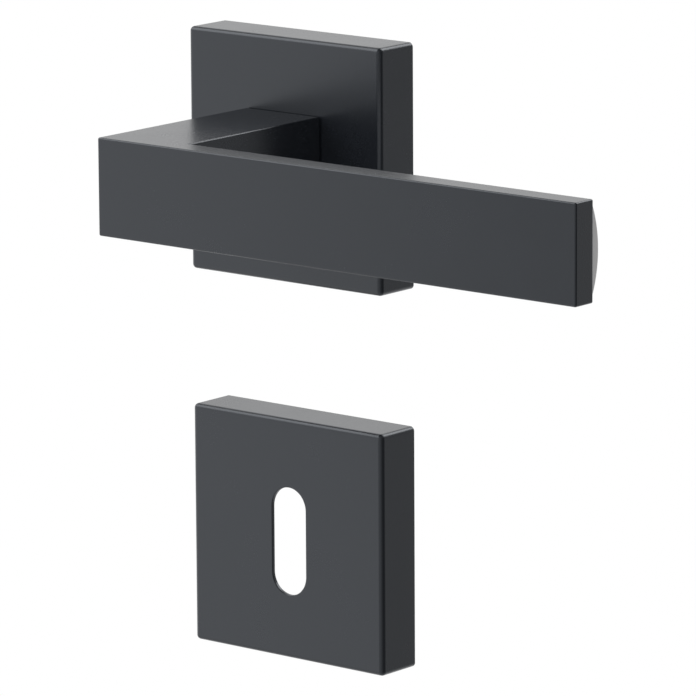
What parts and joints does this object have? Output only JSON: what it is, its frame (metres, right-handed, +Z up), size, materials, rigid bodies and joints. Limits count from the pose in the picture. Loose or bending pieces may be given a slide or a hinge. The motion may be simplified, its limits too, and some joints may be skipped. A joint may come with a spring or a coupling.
{
  "type": "door lever handle",
  "caption": "Flat-bar door lever on a square rose with its return spring, and the matching square keyhole escutcheon below it, for one side of a door.",
  "frame": {"origin": "on the lever's spindle axis, in the plane of the door face", "axes": "+X along the grip towards its tip, +Y into the door, +Z up"},
  "size_m": [0.1384, 0.0829, 0.1333],
  "materials": {
    "anthracite_coating": "satin",
    "light_grey_insert": "satin",
    "spindle_steel": "satin",
    "driver_steel": "satin",
    "spring_steel": "satin",
    "white_acetal": "matte",
    "black_acetal": "matte",
    "zinc_casting": "matte",
    "zinc_plated_plate": "satin",
    "zinc_plated_screws": "gloss",
    "black_steel": "satin"
  },
  "bodies": {
    "mounted_set": {"return_spring": "spring_steel", "neck_bush": "white_acetal", "thrust_washer": "black_acetal", "ring_washer": "zinc_plated_plate", "rose_base": "zinc_casting", "rear_plate": "zinc_plated_plate", "rear_plate_screws": "zinc_plated_screws", "rose_screws": "zinc_plated_screws", "rose_cover": "anthracite_coating", "rose_cover_screw": "black_steel", "escutcheon_base": "zinc_casting", "escutcheon_screws": "zinc_plated_screws", "escutcheon_cover": "anthracite_coating", "escutcheon_cover_screw": "black_steel"},
    "lever": {"lever": "anthracite_coating", "grip_insert": "light_grey_insert", "spindle": "spindle_steel", "lever_grub_screw": "black_steel", "retaining_ring": "spring_steel", "spring_driver": "driver_steel"}
  },
  "joints": [
    {"name": "lever_turn", "type": "hinge", "parent": "mounted_set", "child": "lever", "pos_m": [0, 0, 0], "axis": [0, 1, 0], "range_deg": [0, 45], "stiffness_Nm_per_rad": 0.2, "springref_deg": -60.16, "deforming": ["return_spring"]}
  ]
}
